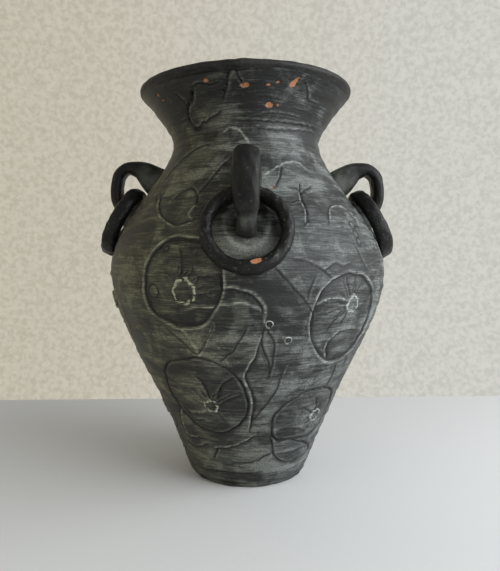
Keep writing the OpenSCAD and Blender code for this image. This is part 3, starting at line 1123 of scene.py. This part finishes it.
@dataclass
class Walls:
    """Foot, lower wall, shoulder, neck and lip, with the ornament worked into them."""

    line: Meridian
    ornament: Ornament
    columns: int = 560
    inner_rows: int = 14
    ripple: float = 0.4
    mouth_tip: float = 2.0
    mouth_sag: float = 1.8
    lip_flat: float = 1.35
    lip_nick: float = 0.8
    foot_wear: float = 0.35

    def section(self, name: str, node: str, rows: int, finish: bpy.types.Material) -> None:
        """One closed length of wall: the outer curve moved by the ornament, and an inner curve behind it.

        Args:
            name: the curve's name.
            node: the CAD node that it stands for.
            rows: rows of the outer face.
            finish: the material.
        """
        turn = around(self.columns)[None, :]
        p, n = self.line.even(name, rows)
        r, z = p[:, 0][:, None], p[:, 1][:, None]
        shape = (rows, self.columns)
        f = self.ornament.read(*(np.broadcast_to(v, shape) for v in (turn, r, z)))
        outer = turned(r + f.lift * n[:, :1], z + f.lift * n[:, 1:], turn)
        q, m = self.line.even(name, self.inner_rows)
        q = (q - self.line.wall * m)[::-1]
        ripple = self.ripple * Wobble(8, (0, 3), (0.2, 0.6)).at(turn, q[:, 1:])
        ripple[[0, -1]] = 0
        inner = turned(q[:, :1] + ripple, q[:, 1:], turn)
        grid = np.concatenate([outer, inner])
        if name == "collar":
            grid = self.flared(grid)
        far, none = np.full(inner.shape[:2], 6.0), np.zeros(inner.shape[:2])
        # the inner face is given painted shade all over
        fields = {"cut": np.concatenate([f.cut, far]), "burr": np.concatenate([f.burr, none]),
                  "wiped": np.concatenate([f.wiped, none]),
                  "hollow": np.concatenate([f.hollow, none + 0.6]), "chip": np.concatenate([f.chip, far])}
        add_mesh(node, grid, True, fields, "pot", (node,), finish,
                 (0, rows - 1, rows, rows + self.inner_rows - 1))

    def flared(self, grid: np.ndarray) -> np.ndarray:
        """Tips the mouth forward and lets its front and back sag, more with the square of the rise.

        Args:
            grid: points in millimetres.

        Returns:
            The points, lowered.
        """
        rise = np.clip((grid[..., 2] - self.line.neck_z) / (self.line.mouth_z - self.line.neck_z), 0, 1.2)
        turn = np.arctan2(grid[..., 0], -grid[..., 1])
        out = grid.copy()
        dip = self.mouth_tip * np.cos(turn) + self.mouth_sag * np.cos(turn)**2
        out[..., 2] += rise**2 * (0.3 * Wobble(21, (2, 4), (0, 0.01), 6).at(turn, 0 * turn) - dip)
        return out

    def foot(self, finish: bpy.types.Material) -> None:
        """The foot and floor: a half outline carried round the axis, worn uneven at its edge.

        Args:
            finish: the material.
        """
        line = self.line
        edge = np.array([(0, 0.4), (20, 0.4), (40, 0.2), (49, 0), (51.4, 0.1), (52.4, 0.9), (53.6, 3),
                         (55.6, 6), (57.8, 10.6), (line.foot_top_r, line.foot_h)])
        outer = smooth_run(edge, 6)
        q, m = line.even("lower", 3)
        lip = q[0] - line.wall * m[0]
        inside = smooth_run(np.array([lip, (50.5, 13.6), (47.5, 10.4), (40, 10), (20, 10.2), (0, 10)]), 5)
        p = np.vstack([outer, inside])
        turn = around(420)[None, :]
        worn = np.exp(-((p[:, 1:] - 2) / 5)**2) * (p[:, :1] > 45)
        bite = self.foot_wear * Wobble(31, (2, 30), (0.0, 0.5), 24).at(turn, p[:, 1:]) * worn
        outside = (p[:, :1] > 52) * (p[:, 1:] > 3)
        lift = self.ornament.slow_swell * Wobble(3, (1, 6), (0.01, 0.06)).at(turn, p[:, 1:]) * outside
        grid = turned(p[:, :1] + bite + lift, np.maximum(p[:, 1:], 0) + 0 * turn, turn)
        none = np.zeros(grid.shape[:2])
        # painted shade over the whole foot and its underside
        fields = {"cut": none + 6, "burr": none, "wiped": none, "hollow": none + 0.5, "chip": none + 6}
        add_mesh("base_dish", grid, False, fields, "pot", ("base_dish",), finish,
                 (len(outer) - 1, len(outer)))

    def lip(self, finish: bpy.types.Material) -> None:
        """The rolled lip: a rounded section carried round the mouth, swelling and thinning as it goes.

        Args:
            finish: the material.
        """
        low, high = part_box("lip_coil")
        size = (high.z - low.z) / 2 / MM
        middle = np.array([high.x / MM - size, (high.z + low.z) / 2 / MM])
        turn, a = around(480)[None, :], (np.arange(36) / 36 * TURN)[:, None]
        swell = size * (1 + 0.02 * Wobble(41, (2, 6), (0, 0.01), 10).at(turn, 0 * turn))
        swell = swell + 0.07 * Wobble(43, (10, 40), (0.5, 2.5), 20).at(turn, 3 * a)
        nick = np.exp(-((turn - math.radians(-5)) / 0.035)**2) * np.clip(np.sin(a - 0.2), 0, 1)
        swell = swell + 0.7 * np.exp(-((turn - math.radians(-2)) / 0.09)**2) - self.lip_nick * nick
        outward = (a + self.line.collar_lean + math.pi) % TURN - math.pi
        swell = swell - self.lip_flat * np.exp(-(outward / 0.75)**2)
        grid = turned(middle[0] + swell * np.cos(a), middle[1] + swell * np.sin(a), turn)
        grid = self.flared(grid)
        fields = {"rub": 0.35 + 0 * swell, "root": 0 * swell, "chip": 6 + 0 * swell}
        add_mesh("lip_coil", grid, True, fields, "pot", ("lip_coil",), finish)


@dataclass
class Loop:
    """A strap loop: a rounded strap carried along an arch about the ring's hinge line."""

    perch: Perch
    line: Meridian
    crest: float
    bend_r: float = 20.2
    crest_angle: float = 62.0
    crest_spread: float = 32.0
    first_turn: float = 108.0
    turn_step: float = -20.0
    last_turn: float = -52.0
    thick: float = 11.0
    wide: float = 19.0
    upper: tuple[float, float] = (27.0, 24.0)
    lower: tuple[float, float] = (20.0, 15.0)
    upper_rise: float = 10.5
    lower_drop: float = 24.0
    proud: float = 3.5
    sunk: float = 5.0
    rows: int = 130
    sides: int = 44

    def stations(self) -> np.ndarray:
        """Radius, height, thickness and width at stations from the upper root to the lower.

        The arch's radius about the hinge line is its bend plus a crest that falls off as
        exp(-(angle/spread) squared); thickness and width grow smoothly to both roots.

        Returns:
            One station to a row.
        """
        hr, hz = self.perch.hinge
        a = np.arange(self.first_turn, self.last_turn - 1, self.turn_step)
        up, low = self.ease((a - 60) / 80), self.ease((-24 - a) / 28)
        reach = self.bend_r + self.crest * np.exp(-((a - self.crest_angle) / self.crest_spread)**2)
        arch = np.stack([hr + reach * np.cos(np.radians(a)), hz + reach * np.sin(np.radians(a)),
                         self.thick + (self.upper[0] - self.thick) * up,
                         self.wide + (self.upper[1] - self.wide) * up + (self.lower[1] - self.wide) * low], 1)
        top, foot = hz + self.upper_rise, hz - self.lower_drop
        ends = [self.root(z, out, size) for z, size in ((top, self.upper), (foot, self.lower))
                for out in (self.proud, -self.sunk)]
        return np.vstack([ends[1], ends[0], arch, ends[2], ends[3]])

    @staticmethod
    def ease(share: np.ndarray) -> np.ndarray:
        """Rises smoothly from 0 to 1 as the share does."""
        kept = np.clip(share, 0, 1)
        return kept**2 * (3 - 2 * kept)

    def root(self, z: float, out: float, size: tuple[float, float]) -> np.ndarray:
        """A station on the wall: radius, height, thickness and width."""
        return np.append(self.line.on_wall(z, out), size)

    @staticmethod
    def rounded(wave: np.ndarray) -> np.ndarray:
        """A cosine or sine squared up a little, for a rounded rectangle."""
        return np.abs(wave)**(2 / 2.6) * np.sign(wave)

    def build(self, finish: bpy.types.Material) -> None:
        """Carries a rounded-rectangle section along the arch and dresses it.

        Args:
            finish: the material.
        """
        run = smooth_run(self.stations(), 12)
        arc = np.append(0, np.cumsum(np.hypot(*np.diff(run[:, :2], axis=0).T)))
        at = np.linspace(0, arc[-1], self.rows)
        run = np.stack([np.interp(at, arc, run[:, i]) for i in range(4)], 1)
        way = np.gradient(run[:, :2], axis=0)
        way = way / np.linalg.norm(way, axis=1, keepdims=True)
        a = (np.arange(self.sides) / self.sides * TURN)[None, :]
        seed = 50 + len(self.perch.side)
        dent = 0.22 * Wobble(seed, (1, 4), (0.03, 0.16)).at(a, at[:, None])
        dent = dent + 0.10 * Wobble(seed + 9, (3, 12), (0.1, 0.5)).at(a, at[:, None])
        across = (run[:, 2:3] / 2 + dent) * self.rounded(np.cos(a))
        side = (run[:, 3:4] / 2 + dent) * self.rounded(np.sin(a))
        grid = self.perch.to_pot(run[:, :1] - across * way[:, 1:], side, run[:, 1:2] + across * way[:, :1])
        ends = np.clip(np.minimum(at, at[-1] - at) / 16, 0, 1)[:, None]
        edge = np.abs(np.sin(2 * a))**2
        luted = np.clip(1.5 - np.minimum(at, at[-1] - at) / 19, 0, 1)[:, None]
        fields = {"rub": (1 - ends) * 0.9 + 0.35 * edge, "root": luted + 0 * edge,
                  "chip": np.full(grid.shape[:2], 6.0)}
        name = f"loop_{self.perch.side}"
        add_mesh(name, grid, False, fields, "pot", (name,), finish)


@dataclass
class Ring:
    """A hanging ring: a flattened round coil bent into a circle about its own axis."""

    perch: Perch
    across: float = 58.6
    edge: float = 4.9
    flat: float = 4.3
    worn: float = 0.15
    columns: int = 220
    sides: int = 40

    def build(self, finish: bpy.types.Material) -> None:
        """Carries the coil's section round the ring and hangs it at its lean.

        The section is a circle stretched along the ring's axis by the flat; around the ring it swells by a
        few slow waves.

        Args:
            finish: the material.
        """
        turn = (np.arange(self.columns) / self.columns * TURN)[None, :]
        a = (np.arange(self.sides) / self.sides * TURN)[:, None]
        seed = 70 + len(self.perch.side)
        swell = 0.22 * Wobble(seed, (2, 7), (0.0, 0.01), 8).at(turn, 0 * turn) * np.ones_like(a)
        swell = swell + 0.14 * Wobble(seed + 3, (4, 22), (0.6, 3.0), 20).at(turn, 2 * a)
        out = (self.edge + swell - self.worn) * np.cos(a)
        up = (self.edge + swell - self.worn) * np.sin(a) + self.flat / 2 * np.tanh(np.sin(a) * 4)
        radius = self.across / 2 + out
        x, y = radius * np.cos(turn), radius * np.sin(turn)
        lean = self.perch.lean
        hr, hz = self.perch.hinge
        mid = (hr + self.across / 2 * math.sin(lean), hz - self.across / 2 * math.cos(lean))
        grid = self.perch.to_pot(mid[0] + x * math.sin(lean) + up * math.cos(lean), y,
                                 mid[1] - x * math.cos(lean) + up * math.sin(lean))
        off = (turn - math.radians(13) + math.pi) % TURN - math.pi
        tall = (a - math.radians(108) + math.pi) % TURN - math.pi
        chip = (np.hypot(off * 30 / 4.2, tall * 6.5 / 2.6) - 1) * 2.6
        if self.perch.side != "front":
            chip = chip * 0 + 6
        fields = {"rub": 0.15 + 0.3 * np.clip(np.sin(a), 0, 1) + 0 * turn, "root": 0 * chip, "chip": chip}
        name = f"ring_{self.perch.side}"
        add_mesh(name, grid, True, fields, f"{name}_body", (name,), finish)


@dataclass
class Studs:
    """Cracked flower centres and seed pellets, pressed on to the wall.

    A centre is given by its turn in degrees, height and radius, a seed by its turn and height.
    """

    line: Meridian
    centres: tuple[Triple, ...] = ((-21.6, 174, 10.5), (-20, 80, 6.5), (42, 162, 7.5), (46, 64, 6.5))
    seeds: tuple[tuple[float, float], ...] = ((7.7, 150), (15.4, 137))
    pellet: float = 3.2
    proud: float = 1.5
    set_in: float = 0.7
    crack_deep: float = 1.1
    repeats: int = 3
    spokes: int = 72

    @staticmethod
    def cracked(rho: np.ndarray, a: np.ndarray, size: float, count: int,
                rng: np.random.Generator) -> np.ndarray:
        """How cracked a pad is at each place: wandering spokes and one wavy circle, each a narrow bell.

        Args:
            rho: share of the pad's radius.
            a: angle about its middle.
            size: its radius in millimetres.
            count: how many spokes.
            rng: the source of their directions.

        Returns:
            The share of the full depth of a crack.
        """
        cracks = np.zeros(np.broadcast(rho, a).shape)
        for _ in range(count):
            path = rng.uniform(0, TURN) + 0.35 * np.sin(rho * rng.uniform(4, 8) + rng.uniform(0, 6))
            gap = np.abs((a - path + math.pi) % TURN - math.pi) * rho * size
            cracks = np.maximum(cracks, np.exp(-(gap / 0.55)**2) * (rho > rng.uniform(0.1, 0.45)))
        arcs = np.exp(-((rho - 0.5 - 0.08 * np.cos(5 * a)) * size / 0.5)**2)
        return np.maximum(cracks, arcs * 0.8)

    def disc(self, turn: float, z: float, size: float, lobes: int,
             seed: int) -> tuple[np.ndarray, dict[str, np.ndarray]]:
        """A low round pad on the wall: height falls from a lobed rim to a cracked middle.

        Args:
            turn: its place round the pot, in radians.
            z: its height.
            size: its radius.
            lobes: lobes of its rim.
            seed: seed of its cracks.

        Returns:
            Its grid, from rim skirt to middle, and its fields.
        """
        rng = np.random.default_rng(seed)
        a = (np.arange(self.spokes) / self.spokes * TURN)[None, :]
        rho = np.concatenate([[1.06, 1.03], np.linspace(1.0, 0.03, 26)])[:, None]
        rim = 1 + 0.07 * np.cos(lobes * a + rng.uniform(0, 6)) + 0.05 * np.cos(3 * a + rng.uniform(0, 6))
        high = self.proud * (0.35 + 0.5 * np.exp(-((rho - 0.8) / 0.15)**2) + 0.35 * np.exp(-(rho / 0.3)**2))
        cracks = self.cracked(rho, a, size, lobes, rng)
        high = high - self.crack_deep * cracks - self.set_in
        high[:2] = [[-2.4], [-1.3]] * np.ones_like(a)
        n = self.line.normal_at(z)
        p = self.line.on_wall(z)
        east, north = rho * rim * size * np.cos(a), rho * rim * size * np.sin(a)
        radius = p[0] + n[0] * high - n[1] * north
        height = p[1] + n[1] * high + n[0] * north
        wrap = turn + east / p[0]
        grid = turned(radius, height, wrap)
        pale = np.exp(-((rho - 0.85) / 0.14)**2) + 0 * a
        return grid, {"cut": 6 - 5.8 * cracks, "burr": np.clip(pale, 0, 1) * 0.9 * (1 - cracks),
                      "hollow": 0 * pale, "wiped": 0 * pale, "chip": 6 + 0 * pale}

    def build(self, finish: bpy.types.Material) -> None:
        """Sets all the buttons and pellets as two pieces.

        Args:
            finish: the material.
        """
        discs, seeds = [], []
        for k in range(self.repeats):
            round_by = 360 / self.repeats * k
            for i, (at, z, size) in enumerate(self.centres):
                discs.append(self.disc(math.radians(at + round_by), z, size, 7, 11 * i + k))
            for at, z in self.seeds:
                seeds.append(self.disc(math.radians(at + round_by), z, self.pellet, 1, 91 + k))
        merge_grids(discs, "flower_buttons", "pot", ("flower_buttons",), finish)
        merge_grids(seeds, "seed_pellets", "pot", ("seed_pellets",), finish)


@dataclass
class Studio:
    """Pale floor, soft light and the camera."""

    distance: float = 0.4773
    eye: float = 0.1947
    dip: float = 0.046
    yaw: float = -0.0062
    roll: float = 0.0067
    lens: float = 36.06
    table_reach: float = 2.5
    table_edge: float = 0.235

    def build(self) -> None:
        """Sets the floor, the lights and the camera."""
        scene = bpy.context.scene
        mesh = bpy.data.meshes.new("table_top")
        far, near = self.table_edge, -self.table_reach
        corners = [(near, near, 0), (-near, near, 0), (-near, far, 0), (near, far, 0)]
        mesh.from_pydata(corners, [], [(0, 1, 2, 3)])
        floor = bpy.data.objects.new("table_top", mesh)
        scene.collection.objects.link(floor)
        mesh.materials.append(PaleCloth().make())
        scene.world = self.room()
        self.lamp("window", (0.85, -0.42, 0.52), (0, 0, 0.15), 1.1, 15.5, (0.95, 0.98, 1.0))
        self.lamp("bounce", (-0.9, -0.6, 0.45), (0, 0, 0.12), 1.0, 2.5, (1.0, 0.94, 0.80))
        camera = bpy.data.objects.new("camera", bpy.data.cameras.new("camera"))
        scene.collection.objects.link(camera)
        camera.data.sensor_fit, camera.data.sensor_width, camera.data.lens = "HORIZONTAL", 36.0, self.lens
        camera.data.clip_start = 0.01
        camera.location = (0, -self.distance, self.eye)
        camera.rotation_euler = (math.pi / 2 - self.dip, self.roll, self.yaw)
        scene.camera = camera
        scene.view_settings.view_transform = "Standard"

    @staticmethod
    def room() -> bpy.types.World:
        """The room's light by direction: a pale rough wall behind, dimmer in front, warmer on the left.

        Returns:
            The world.
        """
        d = Desk(bpy.data.worlds.new("room"))
        aside, ahead = d.axis("X"), d.axis("Y")
        wall = d.blend(aside.step(-0.45, 0.45), (0.552, 0.508, 0.407, 1), (0.638, 0.631, 0.578, 1))
        pits = d.noise((120, 120, 120), 3, 0.5, bend=0.3).step(0.30, 0.66)
        wall = d.blend(pits, d.blend(0.13, wall, (0, 0, 0, 1)), d.blend(0.05, wall, (1, 1, 1, 1)))
        front = d.blend(aside.step(-0.8, 0.8), (0.20, 0.19, 0.165, 1), (0.42, 0.44, 0.46, 1))
        light = d.node("ShaderNodeBackground", {}, {"Color": d.blend(ahead.step(-0.1, 0.75), front, wall)})
        d.node("ShaderNodeOutputWorld", {}, {"Surface": light.outputs[0]})
        return d.owner

    @staticmethod
    def lamp(name: str, place: Triple, aim: Triple, size: float, power: float, tint: Triple) -> None:
        """One square soft light, aimed at a point.

        Args:
            name: its name.
            place: where it stands, in metres.
            aim: the point that it faces.
            size: the length of its side.
            power: its power in watts.
            tint: its colour.
        """
        data = bpy.data.lights.new(name, "AREA")
        data.size, data.energy, data.color = size, power, tint
        lamp = bpy.data.objects.new(name, data)
        lamp.location = place
        lamp.rotation_euler = (Vector(place) - Vector(aim)).to_track_quat("Z", "Y").to_euler()
        bpy.context.scene.collection.objects.link(lamp)


# Extra height of a strap at its crest, in millimetres, for the front loop and the others
CREST_FRONT = 8.3
CREST = 6.3


def main() -> None:
    """Builds every sub-assembly in order."""
    logging.basicConfig(level=logging.INFO, format="%(message)s")
    line = Meridian()
    perches = [Perch(side) for side in ("front", "right", "back", "left")]
    belly = WashedSlip("belly_wash").make()
    neck = WashedSlip("neck_wash").make()
    foot = WashedSlip("foot_wash").make()
    studs = WashedSlip("stud_wash", pale=0.5, wash=0.45).make()
    walls = Walls(line, Ornament(line, perches))
    walls.foot(foot)
    walls.section("lower", "lower_wall", 162, belly)
    walls.section("shoulder", "shoulder_wall", 146, belly)
    walls.section("collar", "neck_collar", 64, neck)
    walls.lip(SmokedClay("lip_clay", black=0.006, grey=0.035).make())
    strap, coil = SmokedClay("strap_clay").make(), SmokedClay("ring_clay", specks=1.0, gloss=0.34).make()
    for perch in perches:
        Loop(perch, line, CREST_FRONT if perch.side == "front" else CREST).build(strap)
        Ring(perch).build(coil)
    Studs(line).build(studs)
    Studio().build()


if __name__ == "__main__":
    main()
